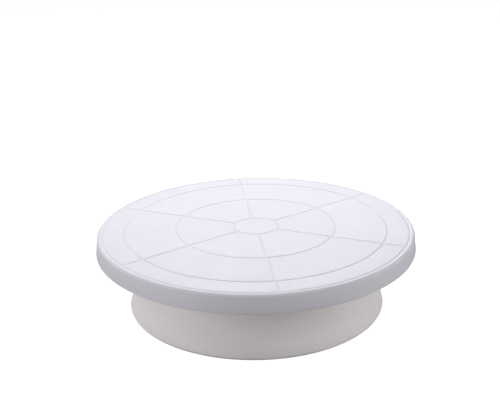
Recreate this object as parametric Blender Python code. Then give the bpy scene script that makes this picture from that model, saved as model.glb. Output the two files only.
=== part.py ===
"""Cake turntable: a ribbed round plate that spins on a ring of steel balls over a domed base.

Run with: blender --background --python part.py
Metres, +Z up. The origin is on the spin axis, on the surface that the feet stand on.
"""

import math

import bmesh
import bpy
from mathutils import Matrix, Vector

# Overall sizes
HEIGHT = 0.070
PLATE_RADIUS = 0.140
BASE_RADIUS = 0.1134
ROUND_STEPS = 48  # facets round the plate and the base
SMALL_STEPS = 24  # facets round the small turned pieces
AXIS_GAP = 0.0001  # running clearance round the spindle
STACK_GAP = 0.0001  # clearance between pieces that are pressed or screwed together
SEAT_GAP = 0.0003  # clearance between pieces that rest on each other
MERGE = 1e-6
RIB_COUNT = 12

# Plate
PLATE_WEB = 0.0028
PLATE_SKIRT_BOTTOM = HEIGHT - 0.0148
PLATE_SKIRT_WALL = 0.0024
PLATE_TOP_ROUND = 0.0024
PLATE_FLAT_RADIUS = 0.1363  # where the top face turns into the rounded rim
RIM_END_TILT = 8  # degrees that the rounded rim still leans where the skirt begins
SKIRT_BEVEL_WIDTH, SKIRT_BEVEL_HEIGHT = 0.0006, 0.0008  # at the skirt's lower edge
SKIRT_DRAFT = 0.0010  # how much thicker the skirt's wall is at its root
SKIRT_FILLET = 0.0012  # between the skirt and the underside
GUIDE_RING_RADII = (0.0192, 0.0702, 0.1152, 0.1343)
GUIDE_LINE_COUNT = 6
GUIDE_WIDTH = 0.0022
GUIDE_FLOOR_WIDTH = 0.0007
GUIDE_RING_DEPTH = 0.00035
GUIDE_LINE_DEPTH = 0.0003
FIRST_GUIDE_ANGLE = math.radians(-22.8)
PLATE_RIB_WALL = 0.0018
PLATE_RIB_ROOT = HEIGHT - 0.0016  # inside the plate's own thickness
PLATE_RIB_END_RADIUS = 0.1382  # inside the skirt's wall
OUTER_RIB_BOTTOMS = (HEIGHT - 0.0120, HEIGHT - 0.0080)  # at the ball track, at the skirt
INNER_RIB_BOTTOMS = (HEIGHT - 0.0135, HEIGHT - 0.0105)  # at the boss, at the ball track
PLATE_RING_RIB_RADII = (0.114, 0.091)
PLATE_RING_RIB_BOTTOM = HEIGHT - 0.0085
PLATE_BOSS_RADIUS = 0.0125
PLATE_BOSS_BOTTOM = 0.0534
PLATE_BOSS_DRAFT = 0.0005
PLATE_BOSS_OVERLAP = 0.0020  # how far the inner ribs run into the boss

# Ball bearing
BALL_COUNT = 16
BALL_RADIUS = 0.003
BALL_CIRCLE = 0.064
BALL_HEIGHT = 0.0532
BALL_GAP = 0.00025  # ball to groove floor
TRACK_RIB_GAP = 0.0036  # between the two ring ribs that the balls run against
TRACK_RIB_WALL = 0.0018
TRACK_RIB_BOTTOM = BALL_HEIGHT + 0.00265
CAGE_THICKNESS = 0.0026
CAGE_WIDTH = 0.0092
CAGE_POCKET_GAP = 0.0003
POCKET_STEPS = 16
BALL_SEGMENTS, BALL_RINGS = 12, 8

# Base
DECK_TOP = 0.0514
DECK_WALL = 0.0026
SHELL_WALL = 0.0026
LIP_BOTTOM = 0.0005
LIP_ROUND = 0.0022
LIP_INNER_RADIUS = 0.1094
LOWER_DOME_ROUND = 0.031
SHOULDER_ROUND = 0.006
LIP_TILT, LOWER_TILT, UPPER_TILT = 14.7, 38, 48  # degrees that the wall leans in, where each arc ends
INNER_WALL_TILT = 20  # the same, where the wall's inner side ends above the lip
RIB_TIP_TILT = 22  # the same, where the ribs end in the wall
TRACK_PAD_HALF_WIDTH = 0.0050
TRACK_PAD_FLARE = 0.0010
TRACK_PAD_BOTTOM = 0.0473
RING_RIB_BOTTOM = 0.038
RING_RIB_DRAFT = 0.0002
BASE_RIB_WALL = 0.0020
BASE_RIB_BOTTOM = 0.028  # at the hub
BASE_RIB_TOP = DECK_TOP - 0.0020  # inside the deck's own thickness
BASE_RIB_OVERLAP = 0.0025  # how far the ribs run into the hub
HUB_RADIUS = 0.0105
HUB_BORE = 0.0065
HUB_BOTTOM = 0.024
HUB_SHOULDER_BORE = 0.0050
HUB_SHOULDER_TOP = 0.026
HUB_FLARE = 0.0024  # fillet between the hub and the deck
HUB_DRAFT = 0.0004
FOOT_COUNT = 6
FOOT_STEPS = 20
FOOT_BEVEL = 0.0005
FOOT_CIRCLE = 0.0970
FOOT_RADIUS = 0.0065
FOOT_THICKNESS = 0.0024
FOOT_BOSS_RADIUS = 0.0086
FOOT_BOSS_BOTTOM = 0.0014

# Spindle and what holds it
SPINDLE_RADIUS = 0.0040
SPINDLE_TOP = 0.0655
SPINDLE_HEAD_RADIUS = 0.0055
SPINDLE_HEAD_HEIGHT = 0.0030
SPINDLE_BOTTOM = 0.0227
SPINDLE_BEVEL = 0.0004
TAPPED_HOLE_RADIUS = 0.0022
TAPPED_HOLE_TOP = 0.036
TAPPED_HOLE_POINT = 0.001  # height of the drill point's cone
BUSH_FLANGE_RADIUS = 0.0090
BUSH_FLANGE_THICKNESS = 0.0012
THRUST_WASHER_RADIUS = 0.0095
THRUST_WASHER_THICKNESS = 0.0010
THRUST_WASHER_GAP = 0.0004  # round the spindle
RETAINING_WASHER_RADIUS = 0.0090
RETAINING_WASHER_THICKNESS = 0.0012
SCREW_RADIUS = 0.0020
SCREW_TOP = 0.034
SCREW_HEAD_RADIUS = 0.0042
SCREW_HEAD_HEIGHT = 0.0028
SCREW_TIP_BEVEL = 0.0005
SCREW_HEAD_TOP_ROUND, SCREW_HEAD_BOTTOM_ROUND = 0.0012, 0.0016
DRIVER_SLOT_WIDTH = 0.0008
DRIVER_SLOT_DEPTH = 0.0016
DRIVER_SLOT_MOUTH, DRIVER_SLOT_FLOOR = 0.0022, 0.0012  # half lengths below the head and at the slot's floor
LOCK_WASHER_RADIUS = 0.0038
LOCK_WASHER_THICKNESS = 0.0010
LOCK_WASHER_SPLIT = 0.0008
LOCK_SPLIT_REACH = (0.0010, 0.0060)  # radii between which the split's cutter runs
LOCK_SPLIT_ANGLE = math.radians(7)
CUT_MARGIN = 0.0010  # how far a cutter stands out of what it cuts

MATERIALS = {
    "plate_plastic": ((0.90, 0.90, 0.93), 0.38, 0.0),
    "base_plastic": ((0.86, 0.85, 0.84), 0.42, 0.0),
    "natural_acetal": ((0.88, 0.87, 0.82), 0.45, 0.0),
    "nylon": ((0.80, 0.79, 0.74), 0.50, 0.0),
    "bright_steel": ((0.72, 0.73, 0.75), 0.22, 1.0),
    "zinc_steel": ((0.62, 0.64, 0.66), 0.35, 1.0),
    "grey_rubber": ((0.32, 0.33, 0.34), 0.80, 0.0),
}


def clear_scene():
    for obj in list(bpy.data.objects):
        bpy.data.objects.remove(obj)


def material(name):
    """The Principled material of that name, made the first time it is asked for."""
    found = bpy.data.materials.get(name)
    if found:
        return found
    colour, roughness, metallic = MATERIALS[name]
    made = bpy.data.materials.new(name)
    made.use_nodes = True
    shader = made.node_tree.nodes["Principled BSDF"]
    shader.inputs["Base Color"].default_value = (*colour, 1)
    shader.inputs["Roughness"].default_value = roughness
    shader.inputs["Metallic"].default_value = metallic
    return made


def frame_empty(name, location=(0, 0, 0), parent=None):
    """An empty that a moving group hangs from, on the axis that the group turns about."""
    empty = bpy.data.objects.new(name, None)
    empty.location = location
    empty.parent = parent
    bpy.context.scene.collection.objects.link(empty)
    return empty


def object_from(bm, name, material_name=None, parent=None):
    """A mesh object made from bm, shaded smooth between its creases."""
    bmesh.ops.recalc_face_normals(bm, faces=bm.faces)
    mesh = bpy.data.meshes.new(name)
    bm.to_mesh(mesh)
    bm.free()
    mesh.shade_smooth()
    mesh.set_sharp_from_angle(angle=math.radians(30))
    obj = bpy.data.objects.new(name, mesh)
    bpy.context.scene.collection.objects.link(obj)
    if material_name:
        mesh.materials.append(material(material_name))
    obj.parent = parent
    return obj


def helper_from(bm, name):
    """A cutter or an addition for a Boolean: it isn't a piece of the turntable."""
    obj = object_from(bm, name)
    obj.hide_render = True
    obj.display_type = "WIRE"
    return obj


def boolean(obj, helper, operation):
    modifier = obj.modifiers.new(f"{operation.lower()} {helper.name}", "BOOLEAN")
    modifier.operation = operation
    modifier.object = helper
    modifier.solver = "EXACT"


def arc(centre, radius, start, end, steps):
    """Points of an arc in the (radius, height) plane. Angles are in degrees, from the outward direction."""
    angles = [math.radians(start + (end - start) * i / steps) for i in range(steps + 1)]
    return [(centre[0] + radius * math.cos(a), centre[1] + radius * math.sin(a)) for a in angles]


def spin_outline(bm, outline, steps):
    """Adds the solid that a (radius, height) outline sweeps round Z.

    An outline that starts on the axis ends on it too, and isn't joined end to end.
    """
    verts = [bm.verts.new((radius, 0, height)) for radius, height in outline]
    edges = [bm.edges.new(pair) for pair in zip(verts, verts[1:])]
    if outline[0][0] > 0:
        edges.append(bm.edges.new((verts[-1], verts[0])))
    bmesh.ops.spin(
        bm, geom=verts + edges, cent=(0, 0, 0), axis=(0, 0, 1), angle=math.tau, steps=steps, use_merge=True
    )
    bmesh.ops.remove_doubles(bm, verts=bm.verts, dist=MERGE)


def turned(name, outline, material_name, parent=None, steps=SMALL_STEPS):
    bm = bmesh.new()
    spin_outline(bm, outline, steps)
    return object_from(bm, name, material_name, parent)


def add_fin(bm, outline, wall, angle):
    """Adds a flat fin: a (radius, height) outline of one wall thickness, standing at an angle round Z."""
    verts = [bm.verts.new((radius, -wall / 2, height)) for radius, height in outline]
    face = bm.faces.new(verts)
    grown = bmesh.ops.extrude_face_region(bm, geom=[face])["geom"]
    moved = [item for item in grown if isinstance(item, bmesh.types.BMVert)]
    bmesh.ops.translate(bm, verts=moved, vec=(0, wall, 0))
    bmesh.ops.rotate(bm, verts=verts + moved, cent=(0, 0, 0), matrix=Matrix.Rotation(angle, 3, "Z"))


def add_cylinder(bm, centre, radius, bottom, top, steps):
    """Adds an upright cylinder."""
    place = Matrix.Translation((centre[0], centre[1], (bottom + top) / 2))
    bmesh.ops.create_cone(
        bm,
        cap_ends=True,
        segments=steps,
        radius1=radius,
        radius2=radius,
        depth=top - bottom,
        matrix=place,
    )


def polar(radius, angle):
    return (radius * math.cos(angle), radius * math.sin(angle))


# ---------------------------------------------------------------- plate


def guide_ring_outline():
    """The top face from the middle outwards, with the guide rings as shallow flat-floored grooves."""
    points = [(0, HEIGHT)]
    for ring in GUIDE_RING_RADII:
        points += [
            (ring - GUIDE_WIDTH / 2, HEIGHT),
            (ring - GUIDE_FLOOR_WIDTH / 2, HEIGHT - GUIDE_RING_DEPTH),
            (ring + GUIDE_FLOOR_WIDTH / 2, HEIGHT - GUIDE_RING_DEPTH),
            (ring + GUIDE_WIDTH / 2, HEIGHT),
        ]
    return points


def ring_rib_outline(inner, outer, root, bottom):
    """A ring rib under the plate, from its outer root to its inner root."""
    return [(outer, root), (outer, bottom), (inner, bottom), (inner, root)]


def plate_outline():
    web = HEIGHT - PLATE_WEB
    half_gap = TRACK_RIB_GAP / 2
    half_rib = PLATE_RIB_WALL / 2
    inner_skirt = PLATE_RADIUS - PLATE_SKIRT_WALL
    rim_centre = (PLATE_FLAT_RADIUS, HEIGHT - PLATE_TOP_ROUND)
    bore = SPINDLE_RADIUS + AXIS_GAP
    head = SPINDLE_HEAD_RADIUS + AXIS_GAP
    rim = arc(rim_centre, PLATE_TOP_ROUND, 90, RIM_END_TILT, 4)
    skirt = [
        (PLATE_RADIUS, PLATE_SKIRT_BOTTOM + SKIRT_BEVEL_HEIGHT),
        (PLATE_RADIUS - SKIRT_BEVEL_WIDTH, PLATE_SKIRT_BOTTOM),
        (inner_skirt, PLATE_SKIRT_BOTTOM),
        (inner_skirt - SKIRT_DRAFT, web - SKIRT_FILLET),
        (inner_skirt - SKIRT_DRAFT - SKIRT_FILLET, web),
    ]
    stiffeners = []
    for radius in PLATE_RING_RIB_RADII:
        stiffeners += ring_rib_outline(radius - half_rib, radius + half_rib, web, PLATE_RING_RIB_BOTTOM)
    outer_track = ring_rib_outline(
        BALL_CIRCLE + half_gap, BALL_CIRCLE + half_gap + TRACK_RIB_WALL, web, TRACK_RIB_BOTTOM
    )
    inner_track = ring_rib_outline(
        BALL_CIRCLE - half_gap - TRACK_RIB_WALL, BALL_CIRCLE - half_gap, web, TRACK_RIB_BOTTOM
    )
    boss = [
        (PLATE_BOSS_RADIUS + PLATE_BOSS_DRAFT, web),
        (PLATE_BOSS_RADIUS, PLATE_BOSS_BOTTOM),
        (bore, PLATE_BOSS_BOTTOM),
        (bore, SPINDLE_TOP - SPINDLE_HEAD_HEIGHT - SEAT_GAP),
        (head, SPINDLE_TOP - SPINDLE_HEAD_HEIGHT - SEAT_GAP),
        (head, SPINDLE_TOP + SEAT_GAP),
        (0, SPINDLE_TOP + SEAT_GAP),
    ]
    return guide_ring_outline() + rim + skirt + stiffeners + outer_track + inner_track + boss


def plate_ribs():
    """Radial fins under the plate: outside the ball track to the skirt, and inside it to the boss."""
    track_middle = BALL_CIRCLE + TRACK_RIB_GAP / 2 + TRACK_RIB_WALL / 2
    inner_track_middle = BALL_CIRCLE - TRACK_RIB_GAP / 2 - TRACK_RIB_WALL / 2
    boss_end = PLATE_BOSS_RADIUS - PLATE_BOSS_OVERLAP
    outer_fin = [
        (track_middle, PLATE_RIB_ROOT),
        (PLATE_RIB_END_RADIUS, PLATE_RIB_ROOT),
        (PLATE_RIB_END_RADIUS, OUTER_RIB_BOTTOMS[1]),
        (track_middle, OUTER_RIB_BOTTOMS[0]),
    ]
    inner_fin = [
        (boss_end, PLATE_RIB_ROOT),
        (inner_track_middle, PLATE_RIB_ROOT),
        (inner_track_middle, INNER_RIB_BOTTOMS[1]),
        (boss_end, INNER_RIB_BOTTOMS[0]),
    ]
    bm = bmesh.new()
    for i in range(RIB_COUNT):
        angle = math.tau * i / RIB_COUNT
        add_fin(bm, outer_fin, PLATE_RIB_WALL, angle)
        if i % 2 == 0:
            add_fin(bm, inner_fin, PLATE_RIB_WALL, angle)
    return helper_from(bm, "plate_rib_fins")


def guide_line_cutter():
    """Six wedge-sided bars that cut the radial guide lines from the middle ring to the edge ring."""
    slope = (GUIDE_WIDTH - GUIDE_FLOOR_WIDTH) / 2 / GUIDE_LINE_DEPTH
    top_half = GUIDE_WIDTH / 2 + slope * CUT_MARGIN
    section = [
        (-GUIDE_FLOOR_WIDTH / 2, HEIGHT - GUIDE_LINE_DEPTH),
        (GUIDE_FLOOR_WIDTH / 2, HEIGHT - GUIDE_LINE_DEPTH),
        (top_half, HEIGHT + CUT_MARGIN),
        (-top_half, HEIGHT + CUT_MARGIN),
    ]
    start, end = GUIDE_RING_RADII[0], GUIDE_RING_RADII[-1]
    bm = bmesh.new()
    for i in range(GUIDE_LINE_COUNT):
        angle = FIRST_GUIDE_ANGLE + math.tau * i / GUIDE_LINE_COUNT
        verts = [bm.verts.new((start, across, height)) for across, height in section]
        face = bm.faces.new(verts)
        grown = bmesh.ops.extrude_face_region(bm, geom=[face])["geom"]
        moved = [item for item in grown if isinstance(item, bmesh.types.BMVert)]
        bmesh.ops.translate(bm, verts=moved, vec=(end - start, 0, 0))
        bmesh.ops.rotate(bm, verts=verts + moved, cent=(0, 0, 0), matrix=Matrix.Rotation(angle, 3, "Z"))
    return helper_from(bm, "guide_line_cutter")


def make_plate(parent):
    plate = turned("turntable_plate", plate_outline(), "plate_plastic", parent, ROUND_STEPS)
    boolean(plate, plate_ribs(), "UNION")
    boolean(plate, guide_line_cutter(), "DIFFERENCE")


# ---------------------------------------------------------------- base


def direction(tilt):
    """Outward normal of a wall that leans in by tilt degrees, in the (radius, height) plane."""
    return Vector((math.cos(math.radians(tilt)), math.sin(math.radians(tilt))))


def dome_arcs():
    """Centres of the lip, lower dome, upper dome and shoulder arcs, and the upper dome's radius.

    Each arc is tangent to the one before it, and the shoulder ends level with the deck.
    """
    lip = Vector((BASE_RADIUS - LIP_ROUND, LIP_BOTTOM + LIP_ROUND))
    lower = lip - (LOWER_DOME_ROUND - LIP_ROUND) * direction(LIP_TILT)
    joint = lower + LOWER_DOME_ROUND * direction(LOWER_TILT)
    shoulder_height = DECK_TOP - SHOULDER_ROUND
    rise = shoulder_height + SHOULDER_ROUND * direction(UPPER_TILT).y - joint.y
    upper_round = rise / (direction(UPPER_TILT).y - direction(LOWER_TILT).y)
    upper = joint - upper_round * direction(LOWER_TILT)
    shoulder = upper + (upper_round - SHOULDER_ROUND) * direction(UPPER_TILT)
    return lip, lower, upper, shoulder, upper_round


def shell_side(inset, first_tilt):
    """The dome from its shoulder down to first_tilt, set in from the outer surface by inset."""
    _, lower, upper, shoulder, upper_round = dome_arcs()
    return (
        arc(shoulder, SHOULDER_ROUND - inset, 90, UPPER_TILT, 2)[:-1]
        + arc(upper, upper_round - inset, UPPER_TILT, LOWER_TILT, 3)[:-1]
        + arc(lower, LOWER_DOME_ROUND - inset, LOWER_TILT, first_tilt, 3)
    )


def height_in_wall(radius):
    """Height of the middle of the dome wall at a radius."""
    middle = shell_side(SHELL_WALL / 2, LIP_TILT)
    for (inner, high), (outer, low) in zip(middle, middle[1:]):
        if inner <= radius <= outer:
            return high + (low - high) * (radius - inner) / (outer - inner)
    raise ValueError(f"no dome wall at radius {radius}")


def base_outline():
    lip = dome_arcs()[0]
    groove = BALL_RADIUS + BALL_GAP
    groove_edge = math.degrees(math.asin((BALL_HEIGHT - DECK_TOP) / groove))
    under_deck = DECK_TOP - DECK_WALL
    pad = TRACK_PAD_HALF_WIDTH
    half_rib = BASE_RIB_WALL / 2
    hub_top = [
        (HUB_SHOULDER_BORE, HUB_BOTTOM),
        (HUB_SHOULDER_BORE, HUB_SHOULDER_TOP),
        (HUB_BORE, HUB_SHOULDER_TOP),
        (HUB_BORE, DECK_TOP),
    ]
    track = arc((BALL_CIRCLE, BALL_HEIGHT), groove, 180 + groove_edge, 360 - groove_edge, 5)
    lip_round = arc(lip, LIP_ROUND, LIP_TILT, -90, 4)[1:]
    inner_side = shell_side(SHELL_WALL, INNER_WALL_TILT)[::-1]
    under = [
        (BALL_CIRCLE + pad + TRACK_PAD_FLARE, under_deck),
        (BALL_CIRCLE + pad, TRACK_PAD_BOTTOM),
        (BALL_CIRCLE + half_rib + RING_RIB_DRAFT, TRACK_PAD_BOTTOM),
        (BALL_CIRCLE + half_rib, RING_RIB_BOTTOM),
        (BALL_CIRCLE - half_rib, RING_RIB_BOTTOM),
        (BALL_CIRCLE - half_rib - RING_RIB_DRAFT, TRACK_PAD_BOTTOM),
        (BALL_CIRCLE - pad, TRACK_PAD_BOTTOM),
        (BALL_CIRCLE - pad - TRACK_PAD_FLARE, under_deck),
        (HUB_RADIUS + HUB_FLARE, under_deck),
        (HUB_RADIUS + HUB_DRAFT, under_deck - HUB_FLARE),
        (HUB_RADIUS, HUB_BOTTOM),
    ]
    outer_side = shell_side(0, LIP_TILT)
    return hub_top + track + outer_side + lip_round + [(LIP_INNER_RADIUS, LIP_BOTTOM)] + inner_side + under


def base_ribs():
    """Radial fins inside the base, from the hub out to the dome wall."""
    middle = shell_side(SHELL_WALL / 2, RIB_TIP_TILT)
    fin = [
        (HUB_RADIUS - BASE_RIB_OVERLAP, BASE_RIB_BOTTOM),
        (HUB_RADIUS - BASE_RIB_OVERLAP, BASE_RIB_TOP),
        (middle[0][0], BASE_RIB_TOP),
        *middle[1:],
    ]
    bm = bmesh.new()
    for i in range(RIB_COUNT):
        add_fin(bm, fin, BASE_RIB_WALL, math.tau * i / RIB_COUNT)
    return helper_from(bm, "base_rib_fins")


def foot_bosses():
    """Upright bosses from the dome wall down to the feet, their tops sloped to end inside the wall."""
    bm = bmesh.new()
    for i in range(FOOT_COUNT):
        centre = polar(FOOT_CIRCLE, math.tau * i / FOOT_COUNT)
        add_cylinder(bm, centre, FOOT_BOSS_RADIUS, FOOT_BOSS_BOTTOM, HEIGHT, FOOT_STEPS)
    for vert in bm.verts:
        if vert.co.z > DECK_TOP:
            vert.co.z = height_in_wall(vert.co.xy.length)
    return helper_from(bm, "foot_bosses")


def foot_recesses():
    bm = bmesh.new()
    for i in range(FOOT_COUNT):
        centre = polar(FOOT_CIRCLE, math.tau * i / FOOT_COUNT)
        add_cylinder(bm, centre, FOOT_RADIUS + SEAT_GAP, 0, FOOT_THICKNESS + SEAT_GAP, FOOT_STEPS)
    return helper_from(bm, "foot_recesses")


def make_base(parent):
    shell = turned("base_shell", base_outline(), "base_plastic", parent, ROUND_STEPS)
    boolean(shell, base_ribs(), "UNION")
    boolean(shell, foot_bosses(), "UNION")
    boolean(shell, foot_recesses(), "DIFFERENCE")


def make_feet(parent):
    outline = [
        (0, 0),
        (FOOT_RADIUS - FOOT_BEVEL, 0),
        (FOOT_RADIUS, FOOT_BEVEL),
        (FOOT_RADIUS, FOOT_THICKNESS),
        (0, FOOT_THICKNESS),
    ]
    for i in range(FOOT_COUNT):
        foot = turned(f"foot_pad_{i + 1}", outline, "grey_rubber", parent, FOOT_STEPS)
        foot.location = (*polar(FOOT_CIRCLE, math.tau * i / FOOT_COUNT), 0)


# ---------------------------------------------------------------- ball bearing


def make_cage(parent):
    """The flat ring that keeps the balls apart, with a round pocket for each."""
    half_width, half_height = CAGE_WIDTH / 2, CAGE_THICKNESS / 2
    outline = [
        (BALL_CIRCLE - half_width, BALL_HEIGHT - half_height),
        (BALL_CIRCLE + half_width, BALL_HEIGHT - half_height),
        (BALL_CIRCLE + half_width, BALL_HEIGHT + half_height),
        (BALL_CIRCLE - half_width, BALL_HEIGHT + half_height),
    ]
    cage = turned("ball_cage", outline, "natural_acetal", parent, ROUND_STEPS)
    bm = bmesh.new()
    for i in range(BALL_COUNT):
        centre = polar(BALL_CIRCLE, math.tau * i / BALL_COUNT)
        top, bottom = BALL_HEIGHT + CAGE_THICKNESS, BALL_HEIGHT - CAGE_THICKNESS
        add_cylinder(bm, centre, BALL_RADIUS + CAGE_POCKET_GAP, bottom, top, POCKET_STEPS)
    boolean(cage, helper_from(bm, "ball_pockets"), "DIFFERENCE")


def make_balls(parent):
    """Steel balls, each with its poles on the radial line that it rolls about."""
    bm = bmesh.new()
    bmesh.ops.create_uvsphere(bm, u_segments=BALL_SEGMENTS, v_segments=BALL_RINGS, radius=BALL_RADIUS)
    first = object_from(bm, "bearing_ball_01", "bright_steel", parent)
    for i in range(BALL_COUNT):
        angle = math.tau * i / BALL_COUNT
        if i == 0:
            ball = first
        else:
            ball = bpy.data.objects.new(f"bearing_ball_{i + 1:02d}", first.data)
            bpy.context.scene.collection.objects.link(ball)
            ball.parent = parent
        ball.location = (*polar(BALL_CIRCLE, angle), BALL_HEIGHT)
        ball.rotation_euler = (0, math.pi / 2, angle)


# ---------------------------------------------------------------- spindle


def make_spindle(parent):
    head_bottom = SPINDLE_TOP - SPINDLE_HEAD_HEIGHT
    outline = [
        (0, SPINDLE_TOP),
        (SPINDLE_HEAD_RADIUS, SPINDLE_TOP),
        (SPINDLE_HEAD_RADIUS, head_bottom),
        (SPINDLE_RADIUS, head_bottom),
        (SPINDLE_RADIUS, SPINDLE_BOTTOM + SPINDLE_BEVEL),
        (SPINDLE_RADIUS - SPINDLE_BEVEL, SPINDLE_BOTTOM),
        (TAPPED_HOLE_RADIUS, SPINDLE_BOTTOM),
        (TAPPED_HOLE_RADIUS, TAPPED_HOLE_TOP),
        (0, TAPPED_HOLE_TOP + TAPPED_HOLE_POINT),
    ]
    turned("spindle", outline, "bright_steel", parent)


def make_bush(parent):
    bore = SPINDLE_RADIUS + AXIS_GAP
    body = HUB_BORE - AXIS_GAP
    flange_bottom = DECK_TOP + STACK_GAP
    outline = [
        (bore, HUB_SHOULDER_TOP + STACK_GAP),
        (body, HUB_SHOULDER_TOP + STACK_GAP),
        (body, flange_bottom),
        (BUSH_FLANGE_RADIUS, flange_bottom),
        (BUSH_FLANGE_RADIUS, flange_bottom + BUSH_FLANGE_THICKNESS),
        (bore, flange_bottom + BUSH_FLANGE_THICKNESS),
    ]
    turned("spindle_bush", outline, "natural_acetal", parent)


def ring_outline(inner, outer, bottom, top):
    return [(inner, bottom), (outer, bottom), (outer, top), (inner, top)]


def make_retainers(base, plate):
    """What keeps the spindle in the hub: thrust washer, steel washer, lock washer and screw, downwards."""
    thrust_top = HUB_BOTTOM - SEAT_GAP
    thrust_bottom = thrust_top - THRUST_WASHER_THICKNESS
    spindle_hole = SPINDLE_RADIUS + THRUST_WASHER_GAP
    thrust = ring_outline(spindle_hole, THRUST_WASHER_RADIUS, thrust_bottom, thrust_top)
    turned("thrust_washer", thrust, "nylon", base)
    washer_top = SPINDLE_BOTTOM - SEAT_GAP
    washer_bottom = washer_top - RETAINING_WASHER_THICKNESS
    clear_hole = SCREW_RADIUS + SEAT_GAP
    washer = ring_outline(clear_hole, RETAINING_WASHER_RADIUS, washer_bottom, washer_top)
    turned("retaining_washer", washer, "zinc_steel", plate)
    lock_top = washer_bottom - STACK_GAP
    lock_bottom = lock_top - LOCK_WASHER_THICKNESS
    lock_ring = ring_outline(clear_hole, LOCK_WASHER_RADIUS, lock_bottom, lock_top)
    lock = turned("lock_washer", lock_ring, "zinc_steel", plate)
    bm = bmesh.new()
    slot = ring_outline(*LOCK_SPLIT_REACH, lock_bottom - CUT_MARGIN, lock_top + CUT_MARGIN)
    add_fin(bm, slot, LOCK_WASHER_SPLIT, LOCK_SPLIT_ANGLE)
    boolean(lock, helper_from(bm, "lock_washer_split"), "DIFFERENCE")
    head_top = lock_bottom - STACK_GAP
    head_bottom = head_top - SCREW_HEAD_HEIGHT
    upper, lower = SCREW_HEAD_TOP_ROUND, SCREW_HEAD_BOTTOM_ROUND
    screw_outline = [
        (0, SCREW_TOP),
        (SCREW_RADIUS - SCREW_TIP_BEVEL, SCREW_TOP),
        (SCREW_RADIUS, SCREW_TOP - SCREW_TIP_BEVEL),
        (SCREW_RADIUS, head_top),
        *arc((SCREW_HEAD_RADIUS - upper, head_top - upper), upper, 90, 0, 1),
        *arc((SCREW_HEAD_RADIUS - lower, head_bottom + lower), lower, 0, -90, 3),
        (0, head_bottom),
    ]
    screw = turned("retaining_screw", screw_outline, "zinc_steel", plate)
    bm = bmesh.new()
    blade = [
        (-DRIVER_SLOT_MOUTH, head_bottom - CUT_MARGIN),
        (DRIVER_SLOT_MOUTH, head_bottom - CUT_MARGIN),
        (DRIVER_SLOT_FLOOR, head_bottom + DRIVER_SLOT_DEPTH),
        (-DRIVER_SLOT_FLOOR, head_bottom + DRIVER_SLOT_DEPTH),
    ]
    add_fin(bm, blade, DRIVER_SLOT_WIDTH, 0)
    driver_slot = helper_from(bm, "driver_slot_a")
    bm = bmesh.new()
    add_fin(bm, blade, DRIVER_SLOT_WIDTH, math.pi / 2)
    boolean(screw, driver_slot, "DIFFERENCE")
    boolean(screw, helper_from(bm, "driver_slot_b"), "DIFFERENCE")


def main():
    clear_scene()
    base = frame_empty("base_frame")
    plate = frame_empty("plate_frame")
    cage = frame_empty("cage_frame")
    make_base(base)
    make_feet(base)
    make_bush(base)
    make_cage(cage)
    make_balls(cage)
    make_plate(plate)
    make_spindle(plate)
    make_retainers(base, plate)


main()
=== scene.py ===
"""Looks of the cake turntable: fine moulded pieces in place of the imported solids, with studio light.

Metres, +Z up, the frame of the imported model: the origin is on the spin axis, on the floor.
"""

import math

import bmesh
import bpy
from mathutils import Matrix, Vector


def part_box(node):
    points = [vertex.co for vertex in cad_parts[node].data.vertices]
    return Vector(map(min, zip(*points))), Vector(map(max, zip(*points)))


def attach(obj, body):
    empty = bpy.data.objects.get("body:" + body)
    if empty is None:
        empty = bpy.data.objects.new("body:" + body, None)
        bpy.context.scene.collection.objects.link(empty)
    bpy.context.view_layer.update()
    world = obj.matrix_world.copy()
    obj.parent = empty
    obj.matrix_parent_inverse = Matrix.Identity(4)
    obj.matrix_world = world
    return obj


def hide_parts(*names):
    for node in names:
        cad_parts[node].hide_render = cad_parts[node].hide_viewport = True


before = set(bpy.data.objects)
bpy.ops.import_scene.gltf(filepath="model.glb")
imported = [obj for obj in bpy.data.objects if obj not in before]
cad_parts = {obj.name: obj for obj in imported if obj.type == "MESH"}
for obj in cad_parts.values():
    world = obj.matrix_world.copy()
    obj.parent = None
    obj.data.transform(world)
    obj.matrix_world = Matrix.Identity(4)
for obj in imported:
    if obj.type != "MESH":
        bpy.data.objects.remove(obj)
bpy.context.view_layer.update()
MM = 0.001

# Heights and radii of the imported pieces
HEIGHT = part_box("turntable_plate")[1].z
PLATE_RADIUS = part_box("turntable_plate")[1].x
BOSS_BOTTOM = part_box("turntable_plate")[0].z
BASE_RADIUS = 113.4 * MM
LIP_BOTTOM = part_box("base_shell")[0].z
DECK_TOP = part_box("base_shell")[1].z
BALL_COUNT = sum(name.startswith("bearing_ball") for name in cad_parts)
FIRST_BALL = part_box("bearing_ball_01")
BALL_RADIUS = (FIRST_BALL[1].z - FIRST_BALL[0].z) / 2
BALL_CIRCLE = (FIRST_BALL[1].x + FIRST_BALL[0].x) / 2
BALL_HEIGHT = (FIRST_BALL[1].z + FIRST_BALL[0].z) / 2

# Shared
AXIS_GAP = 0.1 * MM  # clearance round the spindle, its head and its bush
SEAT_GAP = 0.3 * MM  # clearance over and under the spindle's head, and round the foot pads and the balls
CUT_MARGIN = 1 * MM  # how far a cutter stands out of what it cuts
CREASE = math.radians(32)  # edges sharper than this stay sharp in the shading
ROUND_STEPS = 192  # facets round the base and the cage
SMALL_STEPS = 72  # facets round the small turned pieces
FILLET_STEPS = 3  # facets of a small rounded edge
MERGE_DISTANCE = 1e-6  # points closer than this become one
RIB_COUNT = 12

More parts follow.
